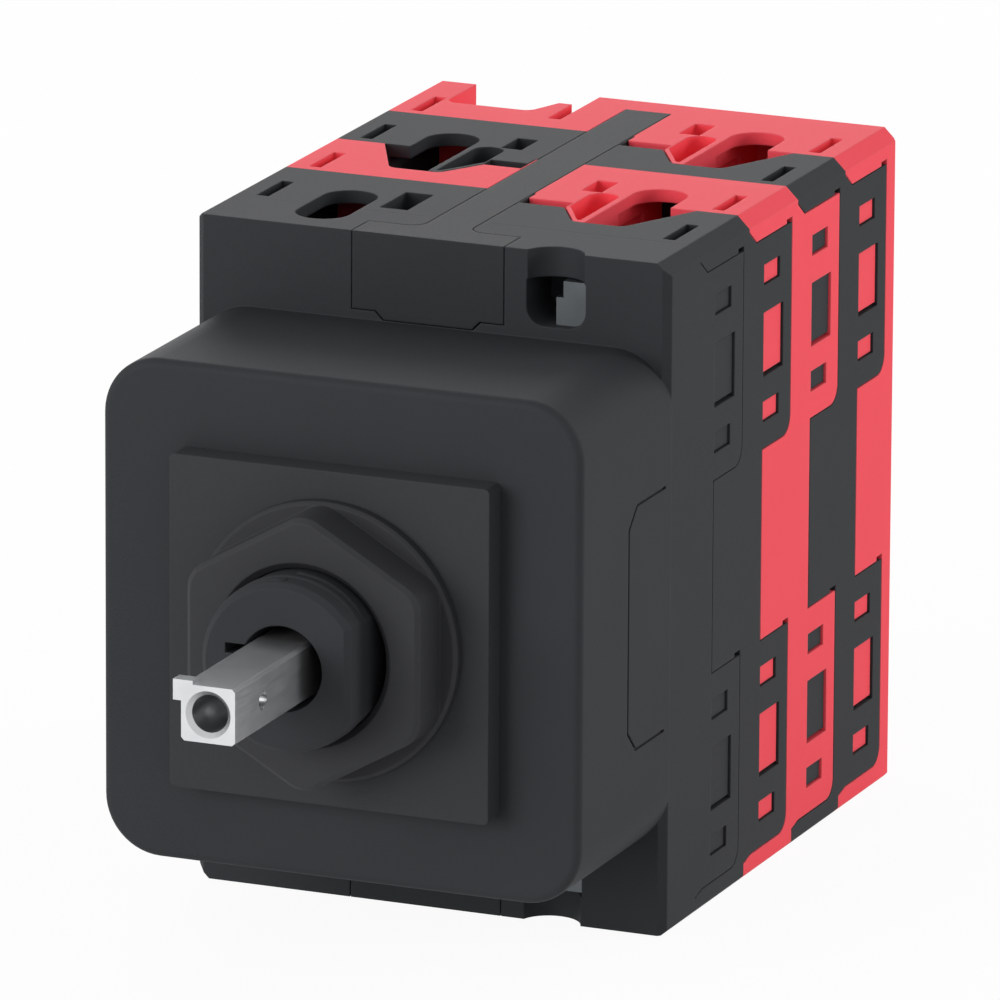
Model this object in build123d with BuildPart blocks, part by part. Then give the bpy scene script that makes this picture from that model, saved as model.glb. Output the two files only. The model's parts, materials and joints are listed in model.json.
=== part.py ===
"""DC disconnect switch: a panel-mounted rotary drive with four contact decks stacked behind it."""

import os
from math import asin, cos, degrees, radians, sin

from build123d import *

# Millimetres. X runs across the panel, Y back from the hood's front face, Z up.
# The origin lies on the turning axis, in the hood's front face.

# Hood and drive body
hood_size = 54.0
hood_corner = 6.3
hood_depth = 23.8
hood_edge = 0.9
front_wall = 2.6
side_wall = 2.6
hood_step = 0.1
body_height = 73.0
body_edge = 1.4
body_small_edge = 0.5
front_edge = 0.8
rear_edge = 0.3
latch_front = 13.0
latch_rear = 23.0
latch_top = 12.8
latch_bottom = -13.6
latch_corner = 2.2
latch_line_width = 0.35
latch_line_depth = 0.3
drive_body_depth = 8.6

# Stack of contact decks
deck_count = 4
deck_pitch = 13.8
deck_web = 1.8
end_wall = 3.0
end_bearing_depth = 1.6
roof = 3.2

# Skirts and snap lugs on the sides
plate_thickness = 1.6
skirt_reach = 4.1
skirt_root = 1.0
skirt_drop = 1.9
lug_reach = 8.0
lug_height = 23.0
lug_corner = 2.0
upper_lug_drop = 3.4
lower_lug_rise = 2.4
lug_slope = 2.0
window_step = 7.5
small_window = (4.5, 2.3)
long_window = (5.6, 6.8)
long_window_relief = 0.25
tooth_sink = 0.25
side_gap = 0.15
relief_length = 1.5
relief_height = 0.6

# Spigot, gasket and nut
spigot_radius = 9.1
spigot_length = 15.2
spigot_flat = 7.6
spigot_bore = 4.6
spigot_chamfer = 0.6
key_slot_height = 1.1
key_slot_depth = 1.7
key_slot_rise = 1.6
gasket_size = 36.0
gasket_thickness = 3.0
gasket_corner = 0.6
nut_flange_radius = 15.0
nut_flange_thickness = 1.4
nut_flange_edge = 0.35
nut_across_flats = 26.2
nut_hex_height = 5.5
nut_corner = 3.2
nut_edge = 0.5
nut_mouth = 0.7
thread_clearance = 0.1

# Operating shaft
shaft_size = 6.0
shaft_reach = 33.6
shaft_tail = 15.5
shaft_edge = 0.35
end_hole_radius = 2.0
end_hole_depth = 14.0
end_hole_chamfer = 0.5
cross_hole_radius = 1.0
cross_hole_set_back = 7.0
coding_nose = 2.2
coding_nose_stand = 0.9
coding_nose_drop = 0.5
coding_nose_depth = 1.6

# Snap mechanism
running_clearance = 0.05
face_gap = 0.3
journal_reach = 8.0
hub_flange_radius = 13.2
hub_flange_thickness = 2.4
hub_radius = 8.6
hub_length = 16.0
dog_inner_radius = 5.0
dog_outer_radius = 8.0
dog_depth = 2.0
dog_half_angle = 15.0
coil_radius = 11.3
coil_wire_size = 1.3
coil_leg_size = 1.2
coil_pitch = 1.9
coil_turns = 4.0
coil_gap = 2.0
carrier_radius = 15.6
carrier_core_radius = 12.8
carrier_thickness = 4.2
cam_half_width = 8.9
cam_corner = 5.5
cam_length = 4.0
stop_post_radius = 1.6
stop_circle = 14.8
stop_gap_angle = 1.5
turn_range = 90.0
leaf_thickness = 0.5
leaf_width = 3.2
leaf_half_length = 17.0
leaf_gap = 0.3
leaf_seat = 1.2
pillar_width = 3.0
pillar_height = 3.6
pillar_centre = 15.2
bearing_plate_thickness = 4.0
plate_screw_inset = 3.8
plate_screw_radius = 1.25
plate_screw_head_radius = 2.4
plate_screw_head_depth = 1.6
plate_screw_length = 11.0
plate_screw_slot_length = 3.8
plate_screw_slot_width = 1.0
screw_post_radius = 4.0

# Rotors and moving contacts
rotor_radius = 8.2
neck_radius = 6.4
tongue_size = 7.0
tongue_length = 3.0
tongue_clearance = 0.1
well_radius = 12.4
contact_depth = 8.0
blade_reach = 12.0
blade_width = 4.5
blade_thickness = 0.8
blade_clearance = 0.1

# Fixed contacts, clamping springs and wire entries
strip_thickness = 1.2
strip_tip_width = 5.0
strip_tip_start = 8.8
strip_bar_low = 13.0
strip_bar_high = 17.0
strip_leg_width = 7.0
strip_tail_drop = 6.3
entry_offset = 14.9
entry_width = 6.0
entry_back = 7.3
pocket_width = 7.8
pocket_floor_gap = 2.5
rear_pocket_height = 7.7
chamber_inner = 11.3
chamber_outer = 20.4
chamber_height = 6.6
chamber_roof = 1.4
bay_reach = 9.5
bay_shoulder = 4.3
bay_step = 7.5
bay_slope = 3.0
bay_outer_inset = 1.6
bay_outer_flare = 3.0
bay_corner = 1.4
first_bay_reach = 5.6
last_bay_start = 7.8
last_bay_reach = 8.8
last_bay_wall = 22.4
rear_slot_width = 1.5
rear_slot_length = 11.2
rear_slot_depth = 3.4
shroud_nose = 2.0
release_offset = 9.5
release_width = 3.4
release_back = 3.2
release_rim = 0.45
release_depth = 2.4
release_slot_set = 2.0
release_slot_width = 2.4
release_slot_length = 4.8
first_slot_set = 6.2
first_slot_width = 3.2
first_slot_centre = 5.2
first_slot_length = 7.2
edge_slot_inset = 3.7
edge_slot_width = 1.4
edge_slot_length = 6.8
edge_slot_centre = 4.6
edge_slot_depth = 2.4
clamp_sheet = 0.6
clamp_drop = 1.8
clamp_height = 14.1
clamp_leg_rise = 6.0
clamp_bow = 3.3
clamp_reach = 6.8
clamp_bend = 1.2
clamp_width = 7.4

# Tie bars over the top and under the bottom
tie_centre = -0.4
tie_width = 5.2
tie_depth = 1.8
tie_plate_width = 17.2
tie_plate_drop = 8.4
tie_plate_thickness = 1.6
tie_tongue_width = 10.0
tie_tongue_drop = 0.9
tie_head_length = 4.4
tie_end_margin = 4.0
tie_hook_drop = 1.6
tie_hook_length = 1.6
tie_fillet = 1.8
tie_gap = 0.12
bay_wall = 0.1

# Front pockets beside the tie bar plates
pocket_left = 10.8
pocket_right = 17.5
pocket_front_drop = 8.1
pocket_back = 6.8
pocket_corner = 2.0
accessory_set_back = 1.2
accessory_depth = 4.6
accessory_foot_width = 3.8
accessory_foot_height = 3.0
accessory_leg_width = 3.0

# Worked out from the sizes above
body_width = hood_size - 2 * hood_step
half_width = body_width / 2
half_height = body_height / 2
drive_rear = hood_depth + drive_body_depth
stack_rear = drive_rear + deck_count * deck_pitch + end_wall - deck_web
skirt_top = half_height - skirt_drop
upper_lug_top = half_height - upper_lug_drop
lower_lug_top = -half_height + lower_lug_rise + lug_height
roof_z = half_height - roof
chamber_top = half_height - chamber_roof
rear_pocket_low = roof_z - rear_pocket_height
strip_top = roof_z - strip_tail_drop
clamp_rise = roof_z - clamp_drop
clamp_low = clamp_rise - clamp_height
pocket_low = clamp_low - pocket_floor_gap
cavity_size = body_width - 2 * side_wall
plate_screw_centre = cavity_size / 2 - plate_screw_inset
plate_front = drive_rear - bearing_plate_thickness
hub_front = front_wall + face_gap
carrier_front = hub_front + hub_length + face_gap
cam_front = carrier_front + carrier_thickness
neck_clearance_radius = neck_radius + running_clearance

os.makedirs("parts", exist_ok=True)
pieces = {}


def deck_front(number):
    """Depth of a deck's front face; deck 1 lies against the drive body."""
    return drive_rear + (number - 1) * deck_pitch


def terminal_side(number):
    """Odd decks have their terminals on the left, even decks on the right."""
    return -1 if number % 2 else 1


def cross_plane(depth):
    """A plane across the axis, drawn in X and Z. A negative amount extrudes backwards."""
    return Plane.XZ.offset(-depth)


def on_circle(radius, angle):
    """A point in a cross plane, at an angle counted from +X towards +Z."""
    return (radius * cos(radians(angle)), radius * sin(radians(angle)))


def outline(*points, mode=Mode.ADD):
    """A closed straight-sided face in the sketch being drawn."""
    Polygon(*points, mode=mode)


def rectangle_between(x0, y0, x1, y1, mode=Mode.ADD):
    """A rectangle given by two opposite corners in the sketch being drawn."""
    with Locations(((x0 + x1) / 2, (y0 + y1) / 2)):
        Rectangle(abs(x1 - x0), abs(y1 - y0), mode=mode)


def sector(radius, start, end, mode=Mode.ADD):
    """A pie slice about the axis in the sketch being drawn."""
    middle = (start + end) / 2
    with BuildLine() as rim:
        ThreePointArc(on_circle(radius, start), on_circle(radius, middle), on_circle(radius, end))
        Line(on_circle(radius, end), (0, 0))
        Line((0, 0), on_circle(radius, start))
    make_face(rim.edges(), mode=mode)


def body_block(front, depth):
    """A slice of the body: a rectangle with bevelled long edges, extruded backwards."""
    with BuildSketch(cross_plane(front)) as section:
        Rectangle(body_width, body_height)
        chamfer(section.vertices().sort_by(lambda v: v.X * v.Y)[:2], body_small_edge)
        chamfer(section.vertices().sort_by(lambda v: v.X * v.Y)[-2:], body_edge)
    extrude(section.sketch, amount=-depth)


def side_plate_outline(rear, grow):
    """Skirt and two snap lugs in Y and Z, behind the rear edge of a housing."""
    line = rear + skirt_reach
    end = line + lug_reach
    root = rear - skirt_root
    with BuildSketch() as plate:
        outline(
            (root, skirt_top),
            (rear, skirt_top),
            (rear + lug_slope, upper_lug_top),
            (end, upper_lug_top),
            (end, upper_lug_top - lug_height),
            (line, upper_lug_top - lug_height),
            (line, lower_lug_top),
            (end, lower_lug_top),
            (end, lower_lug_top - lug_height),
            (rear + lug_slope, lower_lug_top - lug_height),
            (rear, -skirt_top),
            (root, -skirt_top),
        )
        rear_corners = plate.vertices().group_by(Axis.X)[-1].sort_by(Axis.Y)
        fillet([rear_corners[0], rear_corners[2]], lug_corner)
        if grow:
            offset(amount=grow, kind=Kind.INTERSECTION)
    return plate.sketch


def window_places(rear):
    """Centre and size of each window in the lugs: small, long and small in each lug."""
    line = rear + skirt_reach
    for top in (upper_lug_top, lower_lug_top):
        middle = top - lug_height / 2
        for step, (length, height) in (
            (window_step, small_window),
            (0, long_window),
            (-window_step, small_window),
        ):
            yield line + length / 2 + side_gap, middle + step, length, height


def add_side_plates(rear):
    """Skirts and lugs that reach back over the sides of the next deck."""
    shape = side_plate_outline(rear, 0)
    for level in (-half_width, half_width - plate_thickness):
        with BuildSketch(Plane.YZ.offset(level)) as plate:
            add(shape)
            for y, z, length, height in window_places(rear):
                relief = long_window_relief if height == long_window[1] else 0
                with Locations((y, z - relief / 2)):
                    Rectangle(length, height + relief, mode=Mode.SUBTRACT)
        extrude(plate.sketch, amount=plate_thickness)


def cut_side_recesses(front):
    """Room for the skirts and lugs of the housing in front, with teeth that fill its windows."""
    recess = plate_thickness + side_gap
    shape = side_plate_outline(front, side_gap)
    lug_end = front + skirt_reach + lug_reach
    for level in (-half_width, half_width - recess):
        with BuildSketch(Plane.YZ.offset(level)) as room:
            add(shape)
            for top in (upper_lug_top, lower_lug_top):
                rectangle_between(
                    lug_end - relief_length,
                    top - relief_height,
                    lug_end + side_gap,
                    top + relief_height,
                )
        extrude(room.sketch, amount=recess, mode=Mode.SUBTRACT)
    tooth_height = recess - tooth_sink
    for level in (-half_width + tooth_sink, half_width - recess):
        with BuildSketch(Plane.YZ.offset(level)) as teeth:
            for y, z, length, height in window_places(front):
                with Locations((y, z)):
                    Rectangle(length - 2 * side_gap, height - 2 * side_gap)
        extrude(teeth.sketch, amount=tooth_height)


def bay_start(side):
    """Distance from the axis to the groove of the tie bar, on a terminal's side."""
    return tie_width / 2 + side * tie_centre + tie_gap + bay_wall


def cut_rear_bays(rear, side):
    """Bays in the roof and floor of a rear edge that take the next deck's terminals."""
    outer = entry_offset + entry_width / 2
    for level in (1, -1):
        with BuildSketch(Plane.XY.offset(level * roof_z)) as bay:
            outline(
                (side * bay_start(side), rear),
                (side * bay_start(side), rear - bay_shoulder),
                (side * bay_step, rear - bay_shoulder),
                (side * (bay_step + bay_slope), rear - bay_reach),
                (side * (outer - bay_outer_inset), rear - bay_reach),
                (side * (outer + bay_outer_flare), rear),
            )
            fillet(bay.vertices().group_by(Axis.Y)[0], bay_corner)
        extrude(bay.sketch, amount=level * roof, mode=Mode.SUBTRACT)


def cut_last_bays(rear, side):
    """The same bays in the last deck: straight outer wall, and closed beside the tie bar."""
    shoulder = last_bay_start + bay_slope
    for level in (1, -1):
        with BuildSketch(Plane.XY.offset(level * roof_z)) as bay:
            outline(
                (side * last_bay_start, rear),
                (side * last_bay_start, rear - bay_shoulder),
                (side * shoulder, rear - bay_shoulder),
                (side * (shoulder + bay_outer_inset), rear - last_bay_reach),
                (side * last_bay_wall, rear - last_bay_reach),
                (side * last_bay_wall, rear),
            )
            fillet(bay.vertices().group_by(Axis.Y)[0], bay_corner)
        extrude(bay.sketch, amount=level * roof, mode=Mode.SUBTRACT)
        with BuildSketch(Plane.XY.offset(level * half_height)) as slot:
            rectangle_between(
                side * last_bay_start,
                rear - rear_slot_length,
                side * (last_bay_start + rear_slot_width),
                rear,
            )
        extrude(slot.sketch, amount=-level * rear_slot_depth, mode=Mode.SUBTRACT)


def cut_wire_pockets(rear, side, reach):
    """Pockets behind the roof and floor that let a wire pass in front of the clamping springs."""
    entry = side * entry_offset
    for level in (1, -1):
        with BuildSketch(Plane.XY.offset(level * rear_pocket_low)) as pocket:
            rectangle_between(entry - entry_width / 2, rear - reach, entry + entry_width / 2, rear)
        extrude(pocket.sketch, amount=level * (roof_z - rear_pocket_low), mode=Mode.SUBTRACT)


def add_shrouds(front, side):
    """Terminal shrouds that stand forward into the bays of the deck in front."""
    entry_edge = side * (entry_offset - entry_width / 2)
    for level in (1, -1):
        with BuildSketch(Plane.XY.offset(level * roof_z)) as shroud:
            outline(
                (side * (bay_start(side) + side_gap), front + side_gap),
                (side * (bay_start(side) + side_gap), front - shroud_nose),
                (side * (bay_step + side_gap), front - shroud_nose),
                (side * (bay_step + side_gap), front - bay_shoulder + side_gap),
                (side * (bay_step + bay_slope + side_gap), front - bay_reach + side_gap),
                (entry_edge, front - bay_reach + side_gap),
                (entry_edge, front + side_gap),
            )
        extrude(shroud.sketch, amount=level * roof)


def cut_wire_entries(front, side):
    """Long round-ended wire entries through the roof and the floor."""
    entry = side * entry_offset
    arc_centre = front + entry_back - entry_width / 2
    for level in (1, -1):
        with BuildSketch(Plane.XY.offset(level * roof_z)) as entries:
            with Locations((entry, arc_centre)):
                Circle(entry_width / 2)
            rectangle_between(
                entry - entry_width / 2, front - bay_reach, entry + entry_width / 2, arc_centre
            )
        extrude(entries.sketch, amount=level * roof, mode=Mode.SUBTRACT)


def cut_release_slots(front, side):
    """Screwdriver wells beside the wire entries, each with a narrower slot behind it."""
    half_well = release_width / 2
    centre = release_offset
    for level in (1, -1):
        with BuildSketch(Plane.XY.offset(level * half_height)) as wells:
            outline(
                (side * (centre - half_well), front + release_back - half_well),
                (side * (centre - half_well), front - bay_shoulder + 2 * release_rim),
                (side * (centre + half_well - release_rim), front - bay_reach + 2 * release_rim),
                (side * (centre + half_well), front - bay_reach + 2 * release_rim),
                (side * (centre + half_well), front + release_back - half_well),
            )
            with Locations((side * centre, front + release_back - half_well)):
                Circle(half_well)
            slot_middle = front + release_back + release_slot_length / 2
            with Locations((side * (centre - release_slot_set), slot_middle)):
                Rectangle(release_slot_width, release_slot_length)
        extrude(wells.sketch, amount=-level * release_depth, mode=Mode.SUBTRACT)


def cut_first_release_slots(front, side):
    """Plain release slots beside the wire entries of the first deck."""
    for level in (1, -1):
        with BuildSketch(Plane.XY.offset(level * half_height)) as slots:
            with Locations((side * (entry_offset - first_slot_set), front + first_slot_centre)):
                Rectangle(first_slot_width, first_slot_length)
        extrude(slots.sketch, amount=-level * release_depth, mode=Mode.SUBTRACT)


def cut_contact_chambers(front, side):
    """Rotor well, bar channels and terminal pockets, all open to the deck's front face."""
    strip_back = contact_depth + strip_thickness / 2
    with BuildSketch(cross_plane(front)) as well:
        Circle(well_radius)
    extrude(well.sketch, amount=-(deck_pitch - deck_web), mode=Mode.SUBTRACT)
    inner = entry_offset - pocket_width / 2
    tip = strip_tip_width / 2 + side_gap
    bar_low = strip_bar_low - side_gap
    bar_high = strip_bar_high + side_gap
    with BuildSketch(cross_plane(front)) as channels:
        for level in (1, -1):
            rectangle_between(
                side * inner, level * pocket_low, side * (inner + pocket_width), level * roof_z
            )
            rectangle_between(-side * tip, level * (well_radius - 2), side * tip, level * bar_high)
            rectangle_between(
                -side * tip, level * bar_low, side * (inner + pocket_width), level * bar_high
            )
    extrude(channels.sketch, amount=-strip_back, mode=Mode.SUBTRACT)
    with BuildSketch(cross_plane(front)) as chambers:
        for level in (1, -1):
            rectangle_between(
                side * chamber_inner,
                level * (chamber_top - chamber_height),
                side * chamber_outer,
                level * chamber_top,
            )
    extrude(chambers.sketch, amount=-deck_pitch, mode=Mode.SUBTRACT)


def cut_edge_slots(front):
    """Narrow accessory slots near both sides of the roof and the floor."""
    for level in (1, -1):
        with BuildSketch(Plane.XY.offset(level * half_height)) as slots:
            for end in (-1, 1):
                x = tie_centre + end * (half_width - edge_slot_inset)
                with Locations((x, front + edge_slot_centre)):
                    Rectangle(edge_slot_width, edge_slot_length)
        extrude(slots.sketch, amount=-level * edge_slot_depth, mode=Mode.SUBTRACT)


def cut_tie_groove(front, rear):
    """Groove for the bars along the middle of the roof and the floor."""
    groove = tie_width / 2 + tie_gap
    for level in (1, -1):
        with BuildSketch(Plane.XY.offset(level * half_height)) as grooves:
            rectangle_between(tie_centre - groove, front, tie_centre + groove, rear)
        extrude(grooves.sketch, amount=-level * tie_depth, mode=Mode.SUBTRACT)


def tie_bar_outline(level, grow, rear):
    """Head and bar of a tie bar seen from above, with rounded inner corners."""
    head_half = tie_plate_width / 2 + grow
    bar_half = tie_width / 2 + grow
    head_rear = hood_depth + tie_head_length + grow
    with BuildSketch(Plane.XY.offset(level * half_height)) as bar:
        rectangle_between(tie_centre - head_half, hood_depth, tie_centre + head_half, head_rear)
        rectangle_between(tie_centre - bar_half, hood_depth, tie_centre + bar_half, rear)
        inner_corners = bar.vertices().group_by(Axis.Y)[1].sort_by(Axis.X)[1:3]
        fillet(inner_corners, tie_fillet - grow)
    return bar.sketch


def tie_plate_outline(level, grow):
    """Front plate of a tie bar with its blunt tongue, in X and Z."""
    half = tie_plate_width / 2 + grow
    tongue = tie_tongue_width / 2 + grow
    low = half_height - tie_plate_drop - grow
    outline(
        (tie_centre - half, level * half_height),
        (tie_centre - half, level * low),
        (tie_centre - tongue - tie_tongue_drop, level * low),
        (tie_centre - tongue, level * (low - tie_tongue_drop)),
        (tie_centre + tongue, level * (low - tie_tongue_drop)),
        (tie_centre + tongue + tie_tongue_drop, level * low),
        (tie_centre + half, level * low),
        (tie_centre + half, level * half_height),
    )


# Drive housing: hood, spigot and the front of the body in one moulding
with BuildPart() as drive_housing:
    body_block(hood_depth, drive_body_depth)
    front_edges = drive_housing.edges().filter_by(Axis.Z).group_by(Axis.Y)[0]
    chamfer(front_edges, front_edge)
    with BuildSketch(cross_plane(0)):
        RectangleRounded(hood_size, hood_size, hood_corner)
    extrude(amount=-(hood_depth + front_edge))
    fillet(drive_housing.faces().sort_by(Axis.Y)[0].edges(), hood_edge)
    with BuildSketch(cross_plane(-spigot_length)):
        Circle(spigot_radius)
        rectangle_between(spigot_flat, -spigot_radius, spigot_radius, spigot_radius, mode=Mode.SUBTRACT)
    extrude(amount=-(spigot_length + 1))
    spigot_rim = drive_housing.faces().sort_by(Axis.Y)[0].edges()
    chamfer(spigot_rim, spigot_chamfer)
    with BuildSketch(cross_plane(front_wall)):
        RectangleRounded(cavity_size, cavity_size, hood_corner - side_wall)
    extrude(amount=-(drive_rear - front_wall), mode=Mode.SUBTRACT)
    with BuildSketch(cross_plane(front_wall)):
        with GridLocations(2 * plate_screw_centre, 2 * plate_screw_centre, 2, 2):
            Circle(screw_post_radius)
        with GridLocations(2 * plate_screw_centre, 2 * plate_screw_centre, 2, 2):
            Circle(plate_screw_radius, mode=Mode.SUBTRACT)
    extrude(amount=-(plate_front - front_wall))
    with BuildSketch(cross_plane(-spigot_length)):
        Circle(spigot_bore)
        with Locations((-spigot_bore, key_slot_rise)):
            Rectangle(2 * key_slot_depth, key_slot_height)
    extrude(amount=-(spigot_length + front_wall), mode=Mode.SUBTRACT)
    for level in (1, -1):
        with BuildSketch(cross_plane(hood_depth)):
            tie_plate_outline(level, tie_gap)
        extrude(amount=-tie_plate_thickness, mode=Mode.SUBTRACT)
        bar_groove = tie_bar_outline(level, tie_gap, drive_rear)
        extrude(bar_groove, amount=-level * tie_depth, mode=Mode.SUBTRACT)
        pocket_low_z = half_height - pocket_front_drop
        with BuildSketch(cross_plane(hood_depth)) as pocket:
            rectangle_between(pocket_left, level * pocket_low_z, pocket_right, level * roof_z)
            low_corners = pocket.vertices().sort_by(lambda v: abs(v.Y))[:2]
            fillet(low_corners, pocket_corner)
        extrude(amount=-pocket_back, mode=Mode.SUBTRACT)
        pocket_arc = drive_rear - deck_pitch + entry_back - entry_width / 2
        with BuildSketch(Plane.XY.offset(level * roof_z)):
            pocket_half = (pocket_right - pocket_left) / 2
            with Locations(((pocket_left + pocket_right) / 2, pocket_arc)):
                Circle(pocket_half)
        extrude(amount=level * roof, mode=Mode.SUBTRACT)
    cut_wire_pockets(drive_rear, terminal_side(1), first_bay_reach)
    first_entry = terminal_side(1) * entry_offset
    for level in (1, -1):
        with BuildSketch(Plane.XY.offset(level * roof_z)):
            with Locations((first_entry, drive_rear - first_bay_reach + entry_width / 2)):
                Circle(entry_width / 2)
            rectangle_between(
                first_entry - entry_width / 2,
                drive_rear - first_bay_reach + entry_width / 2,
                first_entry + entry_width / 2,
                drive_rear,
            )
        extrude(amount=level * roof, mode=Mode.SUBTRACT)
    add_side_plates(drive_rear)
    for level in (-hood_size / 2, hood_size / 2 - latch_line_depth):
        with BuildSketch(Plane.YZ.offset(level)):
            with BuildLine():
                Polyline(
                    (latch_rear, latch_top),
                    (latch_front + latch_corner, latch_top),
                    (latch_front, latch_top - latch_corner),
                    (latch_front, latch_bottom + latch_corner),
                    (latch_front + latch_corner, latch_bottom),
                    (latch_rear, latch_bottom),
                )
            trace(line_width=latch_line_width)
        extrude(amount=latch_line_depth, mode=Mode.SUBTRACT)
pieces["drive_housing"] = drive_housing

# Square sealing gasket between the hood and the panel
with BuildPart() as panel_gasket:
    with BuildSketch(cross_plane(-gasket_thickness)):
        RectangleRounded(gasket_size, gasket_size, gasket_corner)
        Circle(spigot_radius + thread_clearance, mode=Mode.SUBTRACT)
    extrude(amount=-gasket_thickness)
pieces["panel_gasket"] = panel_gasket

# Flanged hexagon nut on the spigot
nut_back = -gasket_thickness
nut_front = nut_back - nut_flange_thickness - nut_hex_height
with BuildPart() as mounting_nut:
    with BuildSketch(cross_plane(nut_back)):
        Circle(nut_flange_radius)
    extrude(amount=nut_flange_thickness)
    chamfer(mounting_nut.faces().sort_by(Axis.Y)[0].edges(), nut_flange_edge)
    with BuildSketch(cross_plane(nut_back - nut_flange_thickness)) as hexagon:
        RegularPolygon(nut_across_flats / 2, 6, major_radius=False, rotation=30)
        fillet(hexagon.vertices(), nut_corner)
    extrude(amount=nut_hex_height)
    chamfer(mounting_nut.faces().sort_by(Axis.Y)[0].edges(), nut_edge)
    with BuildSketch(cross_plane(nut_front)):
        Circle(spigot_radius + thread_clearance)
    extrude(amount=-(nut_flange_thickness + nut_hex_height), mode=Mode.SUBTRACT)
    bore_rim = mounting_nut.faces().sort_by(Axis.Y)[0].edges().sort_by(SortBy.LENGTH)
    mouth = bore_rim.filter_by(GeomType.CIRCLE).sort_by(SortBy.RADIUS)[-1]
    chamfer(mouth, nut_mouth)
pieces["mounting_nut"] = mounting_nut

# Square operating shaft with its end bore, cross hole and coding nose
shaft_end = -shaft_reach
shaft_back = hub_front + shaft_tail
with BuildPart() as operating_shaft:
    with BuildSketch(cross_plane(shaft_end)):
        Rectangle(shaft_size, shaft_size)
    extrude(amount=-(shaft_back - shaft_end))
    chamfer(operating_shaft.edges().filter_by(Axis.Y), shaft_edge)
    nose_left = -shaft_size / 2 - coding_nose_stand
    nose_top = -nose_left - coding_nose_drop
    with BuildSketch(cross_plane(shaft_end)):
        rectangle_between(nose_left, nose_top, nose_left + coding_nose, nose_top - coding_nose)
    extrude(amount=-coding_nose_depth)
    with BuildSketch(cross_plane(shaft_end)):
        Circle(end_hole_radius)
    extrude(amount=-end_hole_depth, mode=Mode.SUBTRACT)
    with BuildSketch(cross_plane(shaft_end)):
        Circle(end_hole_radius + end_hole_chamfer)
    extrude(amount=-end_hole_chamfer, taper=45, mode=Mode.SUBTRACT)
    with BuildSketch(Plane.YZ):
        with Locations((shaft_end + cross_hole_set_back, 0)):
            Circle(cross_hole_radius)
    extrude(amount=shaft_size, mode=Mode.SUBTRACT)
pieces["operating_shaft"] = operating_shaft

# Snap spring: a torsion coil of square wire round the hub, with an axial leg at each end
coil_front = hub_front + hub_flange_thickness + coil_gap
coil_length = coil_turns * coil_pitch
coil_rear = coil_front + coil_length
leg_overlap = coil_wire_size / 4
front_leg_length = coil_front - hub_front - face_gap + leg_overlap
rear_leg_length = carrier_front + carrier_thickness - face_gap - coil_rear + leg_overlap
with BuildPart() as snap_spring:
    with BuildLine() as coil:
        Helix(coil_pitch, coil_length, coil_radius, center=(0, coil_front, 0), direction=(0, 1, 0))
    leg_start = coil.line @ 0
    leg_end = coil.line @ 1
    outwards = (leg_start.X, 0, leg_start.Z)
    with BuildSketch(Plane(origin=leg_start, x_dir=outwards, z_dir=coil.line % 0)):
        Rectangle(coil_wire_size, coil_wire_size)
    sweep(is_frenet=True)
    with BuildSketch(cross_plane(hub_front + face_gap)):
        with Locations((leg_start.X, leg_start.Z)):
            Rectangle(coil_leg_size, coil_leg_size)
    extrude(amount=-front_leg_length)
    with BuildSketch(cross_plane(coil_rear - leg_overlap)):
        with Locations((leg_end.X, leg_end.Z)):
            Rectangle(coil_leg_size, coil_leg_size)
    extrude(amount=-rear_leg_length)
pieces["snap_spring"] = snap_spring

# Drive hub: journal in the spigot, flange for the coil's front leg, and two driving dogs
socket_size = shaft_size + 2 * running_clearance
leg_hole_size = coil_leg_size + 2 * tongue_clearance
hub_rear = hub_front + hub_length
with BuildPart() as drive_hub:
    with BuildSketch(cross_plane(-journal_reach)):
        Circle(spigot_bore - running_clearance)
    extrude(amount=-(journal_reach + hub_front))
    with BuildSketch(cross_plane(hub_front)):
        Circle(hub_flange_radius)
    extrude(amount=-hub_flange_thickness)
    with BuildSketch(cross_plane(hub_front)):
        Circle(hub_radius)
    extrude(amount=-hub_length)
    with BuildSketch(cross_plane(hub_rear)):
        for middle in (0, 180):
            sector(dog_outer_radius, middle - dog_half_angle, middle + dog_half_angle)
        Circle(dog_inner_radius, mode=Mode.SUBTRACT)
    extrude(amount=-dog_depth)
    with BuildSketch(cross_plane(-journal_reach)):
        Rectangle(socket_size, socket_size)
    extrude(amount=-(journal_reach + shaft_back + face_gap), mode=Mode.SUBTRACT)
    with BuildSketch(cross_plane(hub_front)):
        with Locations((leg_start.X, leg_start.Z)):
            Rectangle(leg_hole_size, leg_hole_size)
    extrude(amount=-hub_flange_thickness, mode=Mode.SUBTRACT)
pieces["drive_hub"] = drive_hub

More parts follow.
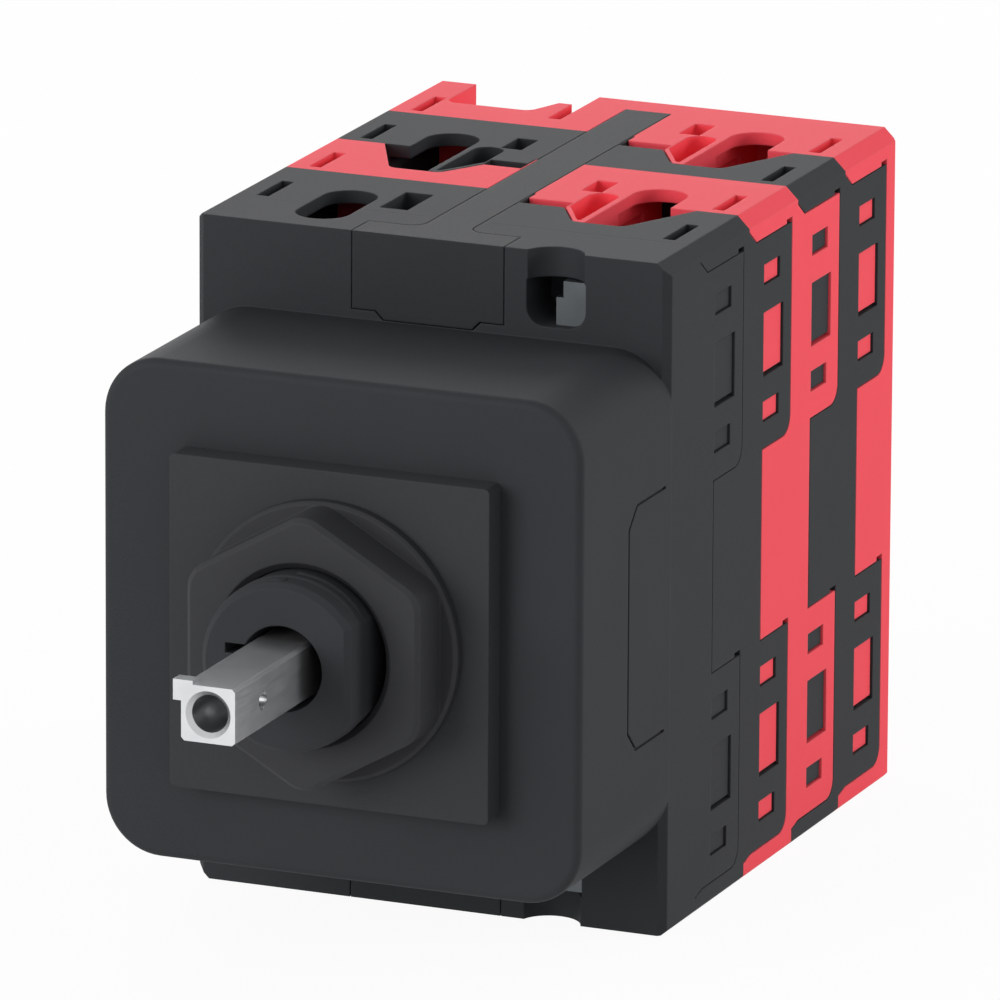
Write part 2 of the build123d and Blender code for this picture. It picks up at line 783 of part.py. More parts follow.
# Snap carrier: stop wings, detent cam, bearing neck and the tongue that turns the rotors
post_angle = degrees(asin(stop_post_radius / stop_circle)) + stop_gap_angle
with BuildPart() as snap_carrier:
    with BuildSketch(cross_plane(carrier_front)):
        Circle(carrier_core_radius)
        for start in (0, 180):
            sector(carrier_radius, start + post_angle, start + turn_range - post_angle)
    extrude(amount=-carrier_thickness)
    with BuildSketch(cross_plane(carrier_front)):
        Circle(dog_outer_radius + face_gap)
        Circle(dog_inner_radius - face_gap, mode=Mode.SUBTRACT)
        for middle in (90, 270):
            sector(
                dog_outer_radius + 2 * face_gap,
                middle - dog_half_angle,
                middle + dog_half_angle,
                mode=Mode.SUBTRACT,
            )
    extrude(amount=-(dog_depth + face_gap), mode=Mode.SUBTRACT)
    with BuildSketch(cross_plane(carrier_front)):
        with Locations((leg_end.X, leg_end.Z)):
            Rectangle(leg_hole_size, leg_hole_size)
    extrude(amount=-carrier_thickness, mode=Mode.SUBTRACT)
    with BuildSketch(cross_plane(cam_front)):
        RectangleRounded(2 * cam_half_width, 2 * cam_half_width, cam_corner)
    extrude(amount=-cam_length)
    with BuildSketch(cross_plane(cam_front + cam_length)):
        Circle(neck_radius)
    extrude(amount=-(drive_rear - cam_front - cam_length))
    with BuildSketch(cross_plane(drive_rear)):
        Rectangle(tongue_size, tongue_size)
    extrude(amount=-(face_gap + tongue_length))
pieces["snap_carrier"] = snap_carrier

# Bearing plate closing the drive housing, with stop posts and slotted pillars for the detents
plate_size = cavity_size - 2 * tie_gap
plate_corner = hood_corner - side_wall - tie_gap
pillar_front = cam_front + face_gap
with BuildPart() as bearing_plate:
    with BuildSketch(cross_plane(plate_front)):
        RectangleRounded(plate_size, plate_size, plate_corner)
        Circle(neck_radius + running_clearance, mode=Mode.SUBTRACT)
        with GridLocations(2 * plate_screw_centre, 2 * plate_screw_centre, 2, 2):
            Circle(plate_screw_radius + tongue_clearance, mode=Mode.SUBTRACT)
    extrude(amount=-bearing_plate_thickness)
    with BuildSketch(cross_plane(drive_rear)):
        with GridLocations(2 * plate_screw_centre, 2 * plate_screw_centre, 2, 2):
            Circle(plate_screw_head_radius + tongue_clearance)
    extrude(amount=plate_screw_head_depth + tongue_clearance, mode=Mode.SUBTRACT)
    with BuildSketch(cross_plane(plate_front)):
        with Locations((0, stop_circle), (0, -stop_circle)):
            Circle(stop_post_radius)
    extrude(amount=plate_front - carrier_front - face_gap)
    with BuildSketch(cross_plane(plate_front)):
        with GridLocations(2 * (cam_half_width + leaf_gap + leaf_thickness / 2), 2 * pillar_centre, 2, 2):
            Rectangle(pillar_width, pillar_height)
            Rectangle(leaf_thickness, pillar_height, mode=Mode.SUBTRACT)
    extrude(amount=plate_front - pillar_front)
pieces["bearing_plate"] = bearing_plate

# Detent springs: a flat leaf along each side of the cam, held in the slotted pillars
leaf_offset = cam_half_width + leaf_gap + leaf_thickness / 2
with BuildPart() as detent_springs:
    with BuildSketch(cross_plane(plate_front - leaf_seat)):
        with Locations((-leaf_offset, 0), (leaf_offset, 0)):
            Rectangle(leaf_thickness, 2 * leaf_half_length)
    extrude(amount=leaf_width)
pieces["detent_springs"] = detent_springs

# Screws that hold the bearing plate
with BuildPart() as plate_screws:
    head_front = drive_rear - plate_screw_head_depth
    with BuildSketch(cross_plane(head_front)):
        with GridLocations(2 * plate_screw_centre, 2 * plate_screw_centre, 2, 2):
            Circle(plate_screw_head_radius)
    extrude(amount=-(plate_screw_head_depth - tie_gap))
    with BuildSketch(cross_plane(head_front)):
        with GridLocations(2 * plate_screw_centre, 2 * plate_screw_centre, 2, 2):
            Circle(plate_screw_radius)
    extrude(amount=plate_screw_length)
    with BuildSketch(cross_plane(drive_rear - tie_gap)):
        with GridLocations(2 * plate_screw_centre, 2 * plate_screw_centre, 2, 2):
            Rectangle(plate_screw_slot_length, plate_screw_slot_width)
            Rectangle(plate_screw_slot_width, plate_screw_slot_length)
    extrude(amount=plate_screw_head_depth / 2, mode=Mode.SUBTRACT)
pieces["plate_screws"] = plate_screws

# Contact decks: four housings, alternately black and red, that interlock front to back
for number in range(1, deck_count + 1):
    front = deck_front(number)
    side = terminal_side(number)
    last = number == deck_count
    depth = deck_pitch - deck_web + end_wall if last else deck_pitch
    with BuildPart() as contact_deck:
        body_block(front, depth)
        if last:
            rear_edges = contact_deck.faces().sort_by(Axis.Y)[-1].edges().filter_by(Axis.Z)
            chamfer(rear_edges, rear_edge)
        cut_side_recesses(front)
        if number > 1:
            add_shrouds(front, side)
        cut_wire_entries(front, side)
        if number > 1:
            cut_release_slots(front, side)
        else:
            cut_first_release_slots(front, side)
        cut_contact_chambers(front, side)
        cut_edge_slots(front)
        if last:
            cut_tie_groove(front, stack_rear - tie_end_margin)
            for level in (1, -1):
                with BuildSketch(Plane.XY.offset(level * (half_height - tie_depth))):
                    rectangle_between(
                        tie_centre - tie_width / 2 - tie_gap,
                        stack_rear - tie_end_margin - tie_hook_length - tie_gap,
                        tie_centre + tie_width / 2 + tie_gap,
                        stack_rear - tie_end_margin,
                    )
                extrude(amount=-level * (tie_hook_drop + tie_gap), mode=Mode.SUBTRACT)
            with BuildSketch(cross_plane(front + deck_pitch - deck_web)):
                Circle(neck_clearance_radius)
            extrude(amount=-end_bearing_depth, mode=Mode.SUBTRACT)
            cut_last_bays(stack_rear, -side)
        else:
            cut_tie_groove(front, front + deck_pitch)
            with BuildSketch(cross_plane(front + deck_pitch - deck_web)):
                Circle(neck_clearance_radius)
            extrude(amount=-deck_web, mode=Mode.SUBTRACT)
            cut_rear_bays(front + deck_pitch, -side)
            cut_wire_pockets(front + deck_pitch, -side, bay_reach)
            add_side_plates(front + deck_pitch)
    pieces[f"contact_deck_{number}"] = contact_deck

# Rotors: each is turned by the tongue of the one in front and carries a moving contact
rotor_front = face_gap
rotor_rear = deck_pitch - deck_web - face_gap
blade_slot = 2 * (blade_thickness + blade_clearance) + strip_thickness
for number in range(1, deck_count + 1):
    front = deck_front(number)
    last = number == deck_count
    neck_end = deck_pitch - deck_web + end_bearing_depth - face_gap if last else deck_pitch
    with BuildPart() as rotor:
        with BuildSketch(cross_plane(front + rotor_front)):
            Circle(rotor_radius)
        extrude(amount=-(rotor_rear - rotor_front))
        with BuildSketch(cross_plane(front + rotor_rear)):
            Circle(neck_radius)
        extrude(amount=-(neck_end - rotor_rear))
        if not last:
            with BuildSketch(cross_plane(front + neck_end)):
                Rectangle(tongue_size, tongue_size)
            extrude(amount=-(face_gap + tongue_length))
        with BuildSketch(cross_plane(front + rotor_front)):
            Rectangle(tongue_size + 2 * tongue_clearance, tongue_size + 2 * tongue_clearance)
        extrude(amount=-(tongue_length + face_gap), mode=Mode.SUBTRACT)
        with BuildSketch(cross_plane(front + contact_depth)):
            Rectangle(2 * well_radius, blade_width)
        extrude(amount=blade_slot / 2, both=True, mode=Mode.SUBTRACT)
    pieces[f"rotor_{number}"] = rotor

# Moving contacts: two blades joined by a spacer, that wipe both faces of the fixed contacts
for number in range(1, deck_count + 1):
    middle = deck_front(number) + contact_depth
    inner_face = blade_slot / 2 - blade_thickness
    with BuildPart() as moving_contact:
        for face_depth, reach in ((-blade_slot / 2, -blade_thickness), (inner_face, -blade_thickness)):
            with BuildSketch(cross_plane(middle + face_depth)):
                Circle(blade_reach)
                Rectangle(2 * blade_reach, blade_width, mode=Mode.INTERSECT)
            extrude(amount=reach)
        with BuildSketch(cross_plane(middle - inner_face)):
            Rectangle(2 * blade_width, blade_width)
        extrude(amount=-2 * inner_face)
    pieces[f"moving_contact_{number}"] = moving_contact

# Fixed contacts and clamping springs, above and below the rotor in every deck
for number in range(1, deck_count + 1):
    front = deck_front(number)
    side = terminal_side(number)
    for level, place in ((1, "top"), (-1, "bottom")):
        with BuildPart() as fixed_contact:
            with BuildSketch(cross_plane(front + contact_depth - strip_thickness / 2)):
                tip = strip_tip_width / 2
                leg_inner = entry_offset - strip_leg_width / 2
                rectangle_between(-tip, level * strip_tip_start, tip, level * strip_bar_high)
                rectangle_between(
                    -side * tip, level * strip_bar_low, side * leg_inner, level * strip_bar_high
                )
                rectangle_between(
                    side * leg_inner,
                    level * strip_bar_low,
                    side * (leg_inner + strip_leg_width),
                    level * strip_top,
                )
            extrude(amount=-strip_thickness)
        pieces[f"fixed_contact_{number}_{place}"] = fixed_contact
        with BuildPart() as clamp_spring:
            with BuildSketch(Plane.YZ.offset(side * entry_offset)):
                with BuildLine():
                    FilletPolyline(
                        (front + clamp_sheet / 2, level * clamp_rise),
                        (front + clamp_sheet / 2, level * clamp_low),
                        (front + clamp_bow, level * clamp_low),
                        (front + clamp_reach, level * (clamp_low + clamp_leg_rise)),
                        radius=clamp_bend,
                    )
                trace(line_width=clamp_sheet)
            extrude(amount=clamp_width / 2, both=True)
        pieces[f"clamp_spring_{number}_{place}"] = clamp_spring

# Tie bars: one over the top and one under the bottom, from the front plate to the rear hook
tie_rear = stack_rear - tie_end_margin
for level, place in ((1, "top"), (-1, "bottom")):
    with BuildPart() as tie_bar:
        with BuildSketch(cross_plane(hood_depth)):
            tie_plate_outline(level, 0)
        extrude(amount=-tie_plate_thickness)
        extrude(tie_bar_outline(level, 0, tie_rear), amount=-level * tie_depth)
        with BuildSketch(Plane.XY.offset(level * (half_height - tie_depth))):
            rectangle_between(
                tie_centre - tie_width / 2,
                tie_rear - tie_hook_length,
                tie_centre + tie_width / 2,
                tie_rear,
            )
        extrude(amount=-level * tie_hook_drop)
    pieces[f"{place}_tie_bar"] = tie_bar

# Metal clamps that stand in the front pockets
with BuildPart() as accessory_clamps:
    for level in (1, -1):
        clamp_low_z = half_height - pocket_front_drop
        with BuildSketch(cross_plane(hood_depth + accessory_set_back)) as clamp_face:
            rectangle_between(
                pocket_right - accessory_foot_width,
                level * clamp_low_z,
                pocket_right,
                level * (clamp_low_z + accessory_foot_height),
            )
            rectangle_between(
                pocket_right - accessory_leg_width,
                level * clamp_low_z,
                pocket_right,
                level * (roof_z - tie_gap),
            )
            outer_corner = clamp_face.vertices().group_by(Axis.X)[-1].sort_by(lambda v: abs(v.Y))[0]
            fillet(outer_corner, pocket_corner)
        extrude(amount=-accessory_depth)
pieces["accessory_clamps"] = accessory_clamps

for name, piece in pieces.items():
    piece.part.label = name
    export_step(piece.part, f"parts/{name}.step")
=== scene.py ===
# %% [markdown]
# # A DC disconnect switch with its contact decks
# The CAD part is loaded as a fixed frame. This notebook dresses it: materials that come from
# the real processes, with a painted highlight on moulded edges and painted shade in the nickel's
# colour, softly rounded edges, the screw thread, light, a floor and a camera.
# Everything is in metres and in the part's own frame: +X right, +Y back, +Z up.

import json
from math import cos, radians, sin, tau

import bpy
from mathutils import Matrix, Vector


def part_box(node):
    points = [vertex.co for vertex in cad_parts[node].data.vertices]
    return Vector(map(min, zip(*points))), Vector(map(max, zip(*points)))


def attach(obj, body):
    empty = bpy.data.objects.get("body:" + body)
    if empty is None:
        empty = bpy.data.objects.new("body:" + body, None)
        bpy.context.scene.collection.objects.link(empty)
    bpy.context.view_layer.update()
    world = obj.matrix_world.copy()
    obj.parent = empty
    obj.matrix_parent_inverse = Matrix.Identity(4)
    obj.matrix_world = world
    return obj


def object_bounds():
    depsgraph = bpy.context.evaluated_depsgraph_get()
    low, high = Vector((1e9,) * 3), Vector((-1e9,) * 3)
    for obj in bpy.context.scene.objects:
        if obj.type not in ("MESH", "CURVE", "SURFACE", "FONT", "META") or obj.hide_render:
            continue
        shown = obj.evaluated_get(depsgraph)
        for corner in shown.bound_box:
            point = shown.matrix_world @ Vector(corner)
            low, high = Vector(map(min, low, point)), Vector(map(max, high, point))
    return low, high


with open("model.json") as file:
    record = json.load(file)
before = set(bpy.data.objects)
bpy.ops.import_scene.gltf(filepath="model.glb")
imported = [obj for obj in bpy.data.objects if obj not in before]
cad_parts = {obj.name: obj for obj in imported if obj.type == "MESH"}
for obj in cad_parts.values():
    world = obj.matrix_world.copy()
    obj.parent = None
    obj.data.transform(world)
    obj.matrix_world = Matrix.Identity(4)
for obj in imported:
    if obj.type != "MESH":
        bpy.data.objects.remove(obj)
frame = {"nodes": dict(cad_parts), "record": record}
nodes = frame["nodes"]
first_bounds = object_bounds()
MM = 0.001
print("nodes:", len(nodes))
print("bounds in mm:", [round(v / MM, 1) for corner in first_bounds for v in corner])

# %% [markdown]
# ## A small kit for materials
# A colour picker shows sRGB hex values, but Blender works in linear light, so one function
# converts them. `add_node` adds any shader node: an input is given as a value, or as the output
# socket of another node, which is then linked.

# %% Colour and node helpers
MIX_FACTOR, MIX_A, MIX_B, MIX_RESULT = 0, 6, 7, 2


def colour(hex_code):
    """sRGB hex to linear RGBA."""
    channels = [int(hex_code[i : i + 2], 16) / 255 for i in (1, 3, 5)]
    linear = [c / 12.92 if c <= 0.04045 else ((c + 0.055) / 1.055) ** 2.4 for c in channels]
    return (*linear, 1.0)


def add_node(material, kind, inputs=None, **settings):
    """Adds a shader node with its settings and its inputs."""
    tree = material.node_tree
    node = tree.nodes.new(kind)
    for name, value in settings.items():
        setattr(node, name, value)
    for name, value in (inputs or {}).items():
        if isinstance(value, bpy.types.NodeSocket):
            tree.links.new(value, node.inputs[name])
        else:
            node.inputs[name].default_value = value
    return node


def new_material(name):
    """A new material, with its Principled shader."""
    material = bpy.data.materials.new(name)
    material.use_nodes = True
    return material, material.node_tree.nodes["Principled BSDF"]


print("white is", colour("#ffffff"), "and mid grey is", colour("#808080"))

# %% [markdown]
# ## How a moulding looks
# A moulded plastic is never one flat colour: the pigment is a little cloudy, the mould's
# spark-eroded skin breaks up the gloss, and no edge is perfectly sharp. The clouds and the skin
# are noise whose size is given in millimetres. The Bevel node turns the surface near an edge, as
# if it were rounded, and where it does so the colour is painted a little lighter: a painted
# highlight along every edge.

# %% The finish of a moulding
CLOUD_MM = 14.0
CLOUD_DETAIL = 3.0
EDGE_RADIUS_MM = 0.25
EDGE_SAMPLES = 4
# where the rounded normal turns this far from the flat one, the edge's painted highlight is full,
# and where it fades out
HIGHLIGHT_FULLY_AT, HIGHLIGHT_NO_MORE_AT = 0.8, 0.99
SKIN_ROUGHNESS_SPREAD = 0.06
FINE_DETAIL = 2.0


def moulded(name, low_hex, high_hex, highlight_hex, roughness, shine, skin_mm, skin_depth_mm):
    """Moulded plastic or rubber: cloudy colour, a fine skin, rounded edges with a painted
    highlight.
    """
    material, shader = new_material(name)
    link = material.node_tree.links.new
    shader.inputs["Specular IOR Level"].default_value = shine
    place = add_node(material, "ShaderNodeTexCoord").outputs["Object"]
    clouds = add_node(
        material,
        "ShaderNodeTexNoise",
        {"Vector": place, "Scale": 1 / (CLOUD_MM * MM), "Detail": CLOUD_DETAIL},
    ).outputs["Fac"]
    body = add_node(
        material,
        "ShaderNodeMix",
        {MIX_FACTOR: clouds, MIX_A: colour(low_hex), MIX_B: colour(high_hex)},
        data_type="RGBA",
    ).outputs[MIX_RESULT]
    rounded = add_node(
        material, "ShaderNodeBevel", {"Radius": EDGE_RADIUS_MM * MM}, samples=EDGE_SAMPLES
    ).outputs["Normal"]
    flat = add_node(material, "ShaderNodeNewGeometry").outputs["Normal"]
    agreement = add_node(
        material, "ShaderNodeVectorMath", {0: rounded, 1: flat}, operation="DOT_PRODUCT"
    ).outputs["Value"]
    # painted highlight: 1 where the Bevel normal turns away from the flat normal along an edge, 0
    # on flat faces
    painted_edge_highlight = add_node(
        material,
        "ShaderNodeMapRange",
        {
            "Value": agreement,
            "From Min": HIGHLIGHT_FULLY_AT,
            "From Max": HIGHLIGHT_NO_MORE_AT,
            "To Min": 1.0,
            "To Max": 0.0,
        },
    ).outputs["Result"]
    # the base colour takes the painted highlight colour along the edges
    tint = add_node(
        material,
        "ShaderNodeMix",
        {MIX_FACTOR: painted_edge_highlight, MIX_A: body, MIX_B: colour(highlight_hex)},
        data_type="RGBA",
    ).outputs[MIX_RESULT]
    link(tint, shader.inputs["Base Color"])
    skin = add_node(
        material,
        "ShaderNodeTexNoise",
        {"Vector": place, "Scale": 1 / (skin_mm * MM), "Detail": FINE_DETAIL},
    ).outputs["Fac"]
    gloss = add_node(
        material,
        "ShaderNodeMapRange",
        {
            "Value": skin,
            "To Min": roughness - SKIN_ROUGHNESS_SPREAD,
            "To Max": roughness + SKIN_ROUGHNESS_SPREAD,
        },
    ).outputs["Result"]
    link(gloss, shader.inputs["Roughness"])
    bump = add_node(
        material,
        "ShaderNodeBump",
        {"Height": skin, "Distance": skin_depth_mm * MM, "Normal": rounded},
    ).outputs["Normal"]
    link(bump, shader.inputs["Normal"])
    return material


# %% [markdown]
# ## How a metal looks
# Drawn bar and rolled strip carry fine lines along the way they were pulled. The same noise,
# stretched along that way, changes the roughness. A second, slow noise is the patchiness of a
# plated or tarnished surface, and sets the tone.

# %% The finish of a metal
PATCH_MM = 3.0
LINE_ROUGHNESS_SPREAD = 0.15


def drawn(name, low_hex, high_hex, roughness, line_mm, stretch):
    """Drawn, rolled or plated metal, with lines across the stretched axis."""
    material, shader = new_material(name)
    link = material.node_tree.links.new
    shader.inputs["Metallic"].default_value = 1.0
    place = add_node(material, "ShaderNodeTexCoord").outputs["Object"]
    pulled = add_node(
        material, "ShaderNodeMapping", {"Vector": place, "Scale": stretch}
    ).outputs["Vector"]
    lines = add_node(
        material,
        "ShaderNodeTexNoise",
        {"Vector": pulled, "Scale": 1 / (line_mm * MM), "Detail": FINE_DETAIL},
    ).outputs["Fac"]
    patches = add_node(
        material,
        "ShaderNodeTexNoise",
        {"Vector": place, "Scale": 1 / (PATCH_MM * MM), "Detail": FINE_DETAIL},
    ).outputs["Fac"]
    tone = add_node(
        material,
        "ShaderNodeMix",
        {MIX_FACTOR: patches, MIX_A: colour(low_hex), MIX_B: colour(high_hex)},
        data_type="RGBA",
    ).outputs[MIX_RESULT]
    link(tone, shader.inputs["Base Color"])
    spread = add_node(
        material,
        "ShaderNodeMapRange",
        {
            "Value": lines,
            "To Min": roughness * (1 - LINE_ROUGHNESS_SPREAD),
            "To Max": roughness * (1 + LINE_ROUGHNESS_SPREAD),
        },
    ).outputs["Result"]
    link(spread, shader.inputs["Roughness"])
    return material


# %% [markdown]
# ## Materials
# Each is named for the real material and how it was made, because that decides what the eye
# sees: spark-eroded moulds leave a fine matt skin, drawn bar has lines along its length, and
# plated parts are brighter than bare ones. The nickel is the exception: its colour is darkened
# as painted shade.

# %% Plastics and rubber
# The third colour of each moulding is the painted highlight along its edges.
materials = {
    # the mould's spark-eroded skin scatters light, so black plastic looks dark grey
    "black_housing": moulded(
        "Polyamide black spark-eroded", "#26282b", "#2b2d30", "#343638",
        roughness=0.7, shine=0.2, skin_mm=0.25, skin_depth_mm=0.012,
    ),
    # the same skin in a light red
    "red_housing": moulded(
        "Polyamide red spark-eroded", "#f24653", "#f64d5a", "#f8666f",
        roughness=0.7, shine=0.3, skin_mm=0.25, skin_depth_mm=0.012,
    ),
    # the nut comes from a smoother mould, and glass fibre gives it a harder shine
    "black_nut": moulded(
        "Polyamide black glass filled", "#28292c", "#2d2e30", "#363739",
        roughness=0.66, shine=0.25, skin_mm=0.4, skin_depth_mm=0.008,
    ),
    # a hair darker and smoother than the housings
    "black_tie_bar": moulded(
        "Polyamide black satin", "#232527", "#282a2c", "#303234",
        roughness=0.68, shine=0.2, skin_mm=0.3, skin_depth_mm=0.01,
    ),
    # pressed rubber is duller than the plastic, and a little greyer
    "sealing_rubber": moulded(
        "Rubber pressed sheet", "#2a2c2e", "#2f3133", "#333537",
        roughness=0.8, shine=0.3, skin_mm=0.5, skin_depth_mm=0.02,
    ),
    # waxy white, nearly smooth
    "natural_acetal": moulded(
        "Acetal natural moulded", "#dcd9cf", "#e4e1d8", "#ebe9e2",
        roughness=0.35, shine=0.5, skin_mm=0.5, skin_depth_mm=0.005,
    ),
    # glass fibre shows as a faint mottle
    "ivory_rotor": moulded(
        "Polyester ivory glass filled", "#cfc7ae", "#d9d2bb", "#e0dac6",
        roughness=0.5, shine=0.5, skin_mm=0.3, skin_depth_mm=0.015,
    ),
}
print("plastics:", len(materials))

# %% Metals
metals = {
    # bright zinc with the lines of the drawing die along Y
    "zinc_plated_steel": drawn(
        "Steel drawn zinc plated", "#b9bbbd", "#cccecf",
        roughness=0.38, line_mm=0.25, stretch=(1, 0.05, 1),
    ),
    # nickel plate painted much darker than zinc and than its own colour: painted shade for the
    # clamps seen deep in the pocket under the hood
    "nickel_plated_steel": drawn(
        "Steel strip nickel plated", "#4a4d50", "#5c5f62",
        roughness=0.45, line_mm=0.3, stretch=(0.1, 1, 1),
    ),
    # blue-grey from its tempering
    "spring_steel": drawn(
        "Steel spring bare", "#858991", "#9da1a8",
        roughness=0.36, line_mm=0.3, stretch=(1, 1, 0.1),
    ),
    # silver, faintly yellowed by tarnish
    "silvered_copper": drawn(
        "Copper silver plated", "#c9c3b4", "#dcd9d2",
        roughness=0.28, line_mm=0.3, stretch=(0.1, 1, 1),
    ),
    # rolled copper, browner where it has been touched
    "copper": drawn(
        "Copper rolled bare", "#a9653f", "#c98862",
        roughness=0.32, line_mm=0.3, stretch=(0.1, 1, 1),
    ),
}
materials.update(metals)
print("metals:", len(metals))

# %% Give every node its material
for part in frame["record"]["subparts"]:
    mesh = nodes[part["node"]].data
    mesh.materials.clear()
    mesh.materials.append(materials[part["material_slot"]])

# %% [markdown]
# ## The thread on the spigot
# The nut runs on a moulded thread. In the CAD part the spigot is plain, so the thread's crest is
# a piece of its own: one tooth's outline in the plane through the axis, swept round the axis by a
# Screw modifier, which moves it one pitch along for every turn. It shows only in front of the
# nut, and it is cut off where the spigot has its flat.

# %% One tooth of the thread
THREAD_PITCH_MM = 1.5
THREAD_TURNS = 2
THREAD_STEPS = 64
TOOTH_HEIGHT_MM = 0.16
TOOTH_SINK_MM = 0.1
SPIGOT_RADIUS_MM = 9.1
SPIGOT_FLAT_MM = 7.6
CREST_SHARE = 0.4
ROOT_SHARE = 0.75
FIRST_TOOTH_SHARE = 0.6
RUN_OUT_FROM_MM = 6.4
FLAT_SINK_MM = 0.05
nut_front_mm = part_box("mounting_nut")[0].y / MM
tooth_middle_mm = nut_front_mm - THREAD_PITCH_MM * FIRST_TOOTH_SHARE
tooth_z_mm = SPIGOT_RADIUS_MM + (TOOTH_HEIGHT_MM - TOOTH_SINK_MM) / 2
bpy.ops.object.select_all(action="DESELECT")
bpy.ops.mesh.primitive_plane_add(
    size=MM, location=(0, tooth_middle_mm * MM, tooth_z_mm * MM), rotation=(0, tau / 4, 0)
)
thread = bpy.context.object
thread.name = "spigot_thread"
thread.scale = (TOOTH_HEIGHT_MM + TOOTH_SINK_MM, THREAD_PITCH_MM * ROOT_SHARE, 1)
bpy.ops.object.transform_apply(location=True, rotation=True, scale=True)
print("tooth middle at mm:", round(tooth_middle_mm, 2))

# %% [markdown]
# The tooth's outer edge is narrowed to a crest, and the face is taken away, so that only the
# outline is swept.

# %% Shape the tooth and sweep it
for vertex in thread.data.vertices:
    vertex.select = vertex.co.z > SPIGOT_RADIUS_MM * MM
for edge in thread.data.edges:
    edge.select = all(thread.data.vertices[i].select for i in edge.vertices)
for face in thread.data.polygons:
    face.select = False
bpy.ops.object.mode_set(mode="EDIT")
bpy.ops.transform.resize(value=(1, CREST_SHARE, 1))
bpy.ops.mesh.select_all(action="SELECT")
bpy.ops.mesh.delete(type="ONLY_FACE")
bpy.ops.object.mode_set(mode="OBJECT")
screw = thread.modifiers.new("Screw", "SCREW")
screw.axis = "Y"
screw.angle = tau
screw.screw_offset = -THREAD_PITCH_MM * MM
screw.iterations = THREAD_TURNS
screw.steps = screw.render_steps = THREAD_STEPS
bpy.ops.object.modifier_apply(modifier=screw.name)
print("thread faces:", len(thread.data.polygons))

# %% [markdown]
# A moulded thread runs out before a flat, so close to it the crest sinks into the spigot. Then
# the two open ends are closed, and the thread is cut a hair below the flat, so that no two faces
# lie in one plane. The normals are made to point outwards.

# %% Close and cut the thread
for vertex in thread.data.vertices:
    near_flat = (vertex.co.x / MM - RUN_OUT_FROM_MM) / (SPIGOT_FLAT_MM - RUN_OUT_FROM_MM)
    outwards = Vector((vertex.co.x, 0, vertex.co.z)).normalized()
    vertex.co -= outwards * TOOTH_HEIGHT_MM * MM * min(max(near_flat, 0), 1)
bpy.ops.object.mode_set(mode="EDIT")
bpy.ops.mesh.select_all(action="DESELECT")
bpy.ops.mesh.select_mode(type="EDGE")
bpy.ops.mesh.select_non_manifold()
bpy.ops.mesh.fill_holes(sides=4)
bpy.ops.mesh.select_all(action="SELECT")
bpy.ops.mesh.bisect(
    plane_co=((SPIGOT_FLAT_MM - FLAT_SINK_MM) * MM, 0, 0),
    plane_no=(1, 0, 0),
    clear_outer=True,
    use_fill=True,
    threshold=MM / 1000,
)
bpy.ops.mesh.select_all(action="SELECT")
bpy.ops.mesh.normals_make_consistent(inside=False)
bpy.ops.object.mode_set(mode="OBJECT")
thread.data.materials.append(materials["black_housing"])
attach(thread, "switch_body")
print("thread from", [round(min(v.co[i] for v in thread.data.vertices) / MM, 2) for i in range(3)])
print("thread to", [round(max(v.co[i] for v in thread.data.vertices) / MM, 2) for i in range(3)])

# %% [markdown]
# ## Camera
# The view is from the right and a little above. A long lens far away keeps the perspective as
# flat as a catalogue picture's.

# %% Place the camera
AZIMUTH, ELEVATION, ROLL = 22.761, 15.386, 0.297
DISTANCE = 1444.67 * MM
LENS_MM, SENSOR_MM = 492.3, 36.0
SHIFT = Vector((4.952 * MM, 6.395 * MM))
TARGET = Vector((0, 30 * MM, 0))
NEAREST_SEEN, FARTHEST_SEEN = 0.1, 20.0


def aim(azimuth, elevation):
    """The direction from the target towards a viewer at these angles, in degrees."""
    a, e = radians(azimuth), radians(elevation)
    return Vector((sin(a) * cos(e), -cos(a) * cos(e), sin(e)))


back = aim(AZIMUTH, ELEVATION)
right = aim(AZIMUTH + 90, 0)
turn = Matrix.Rotation(radians(ROLL), 3, back)
right, up = turn @ right, turn @ back.cross(right)
camera_data = bpy.data.cameras.new("Camera")
camera_data.sensor_width = SENSOR_MM
camera_data.lens = LENS_MM
camera_data.clip_start, camera_data.clip_end = NEAREST_SEEN, FARTHEST_SEEN
camera = bpy.data.objects.new("Camera", camera_data)
bpy.context.collection.objects.link(camera)
camera_place = TARGET + back * DISTANCE + right * SHIFT.x + up * SHIFT.y
camera_turn = Matrix((right, up, back)).transposed().to_4x4()
camera.matrix_world = Matrix.Translation(camera_place) @ camera_turn
bpy.context.scene.camera = camera
print("camera at mm:", [round(v / MM) for v in camera_place])

# %% [markdown]
# ## Floor
# White paper. Rays from the camera, and rays that gloss or glass throws, see it mixed with plain
# white, so the picture's ground is white and the object's soft shadow stays.

# %% Lay the floor
PAPER_WHITENESS = 0.94
PAPER_ROUGHNESS = 0.9
PAPER_SIZE = 6.0


def seen_directly(material):
    """1 for rays from the camera and from gloss or glass, 0 for the light that falls."""
    ray = add_node(material, "ShaderNodeLightPath").outputs
    looks = add_node(
        material,
        "ShaderNodeMath",
        {0: ray["Is Camera Ray"], 1: ray["Is Glossy Ray"]},
        operation="MAXIMUM",
    ).outputs[0]
    return add_node(
        material, "ShaderNodeMath", {0: looks, 1: ray["Is Transmission Ray"]}, operation="MAXIMUM"
    ).outputs[0]


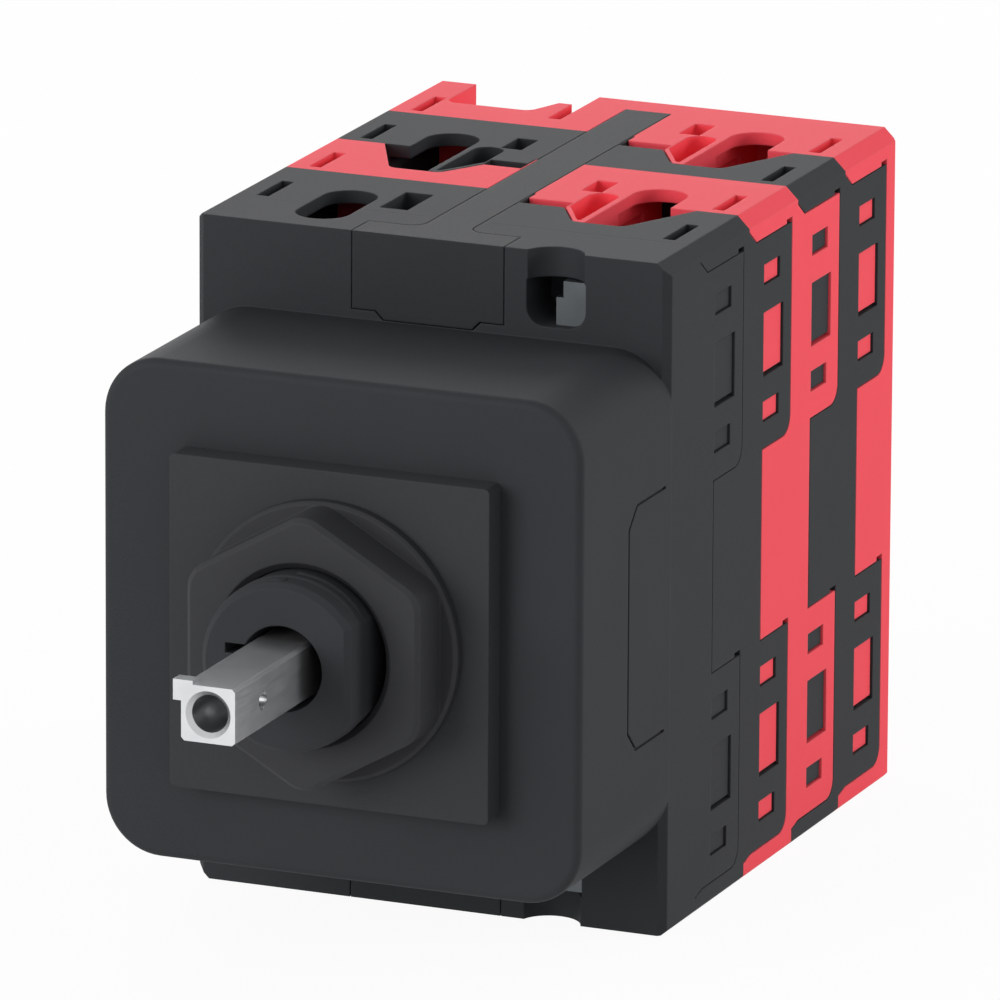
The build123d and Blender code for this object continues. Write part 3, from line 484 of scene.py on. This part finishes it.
bpy.ops.object.select_all(action="DESELECT")
bpy.ops.mesh.primitive_plane_add(size=PAPER_SIZE, location=(0, 0, first_bounds[0].z))
floor = bpy.context.object
floor.name = "Floor"
paper, paper_shader = new_material("Paper white matt")
paper_shader.inputs["Base Color"].default_value = colour("#f8f8f8")
paper_shader.inputs["Roughness"].default_value = PAPER_ROUGHNESS
share = add_node(
    paper, "ShaderNodeMath", {0: seen_directly(paper), 1: PAPER_WHITENESS}, operation="MULTIPLY"
).outputs[0]
plain = add_node(paper, "ShaderNodeEmission", {"Color": colour("#ffffff"), "Strength": 1.0})
mixed = add_node(
    paper,
    "ShaderNodeMixShader",
    {0: share, 1: paper_shader.outputs["BSDF"], 2: plain.outputs["Emission"]},
)
paper_output = paper.node_tree.nodes["Material Output"]
paper.node_tree.links.new(mixed.outputs["Shader"], paper_output.inputs["Surface"])
floor.data.materials.append(paper)
print("floor at mm:", round(first_bounds[0].z / MM, 2))

# %% [markdown]
# ## Light
# A white room lights the object evenly from all sides. A soft lamp at the left front lights the
# front faces. A smaller one on the right stands a little behind the hood's front face, so that
# it lights the side but leaves the small steps on the front in shadow. A wide one behind makes
# the matt tops shine as they do when one looks along them.

# %% Lamps and room
ROOM_STRENGTH = 0.54


def soft_lamp(name, azimuth, elevation, distance, size, power):
    """A square lamp that points at the target."""
    data = bpy.data.lights.new(name, "AREA")
    data.size, data.energy = size, power
    lamp = bpy.data.objects.new(name, data)
    bpy.context.collection.objects.link(lamp)
    lamp.visible_camera = False
    lamp.location = TARGET + aim(azimuth, elevation) * distance
    lamp.rotation_euler = aim(azimuth, elevation).to_track_quat("Z", "Y").to_euler()
    return lamp


soft_lamp("Key lamp", azimuth=-30, elevation=15, distance=1.2, size=0.7, power=8.6)
soft_lamp("Side lamp", azimuth=118, elevation=18, distance=1.2, size=0.35, power=4.2)
soft_lamp("Back lamp", azimuth=203, elevation=18, distance=1.6, size=1.0, power=7.0)

room = bpy.data.worlds.new("White room")
bpy.context.scene.world = room
room.use_nodes = True
strength = add_node(
    room,
    "ShaderNodeMapRange",
    {"Value": seen_directly(room), "To Min": ROOM_STRENGTH, "To Max": 1.0},
).outputs["Result"]
background = room.node_tree.nodes["Background"]
background.inputs["Color"].default_value = colour("#ffffff")
room.node_tree.links.new(strength, background.inputs["Strength"])
bpy.context.scene.view_settings.view_transform = "Standard"
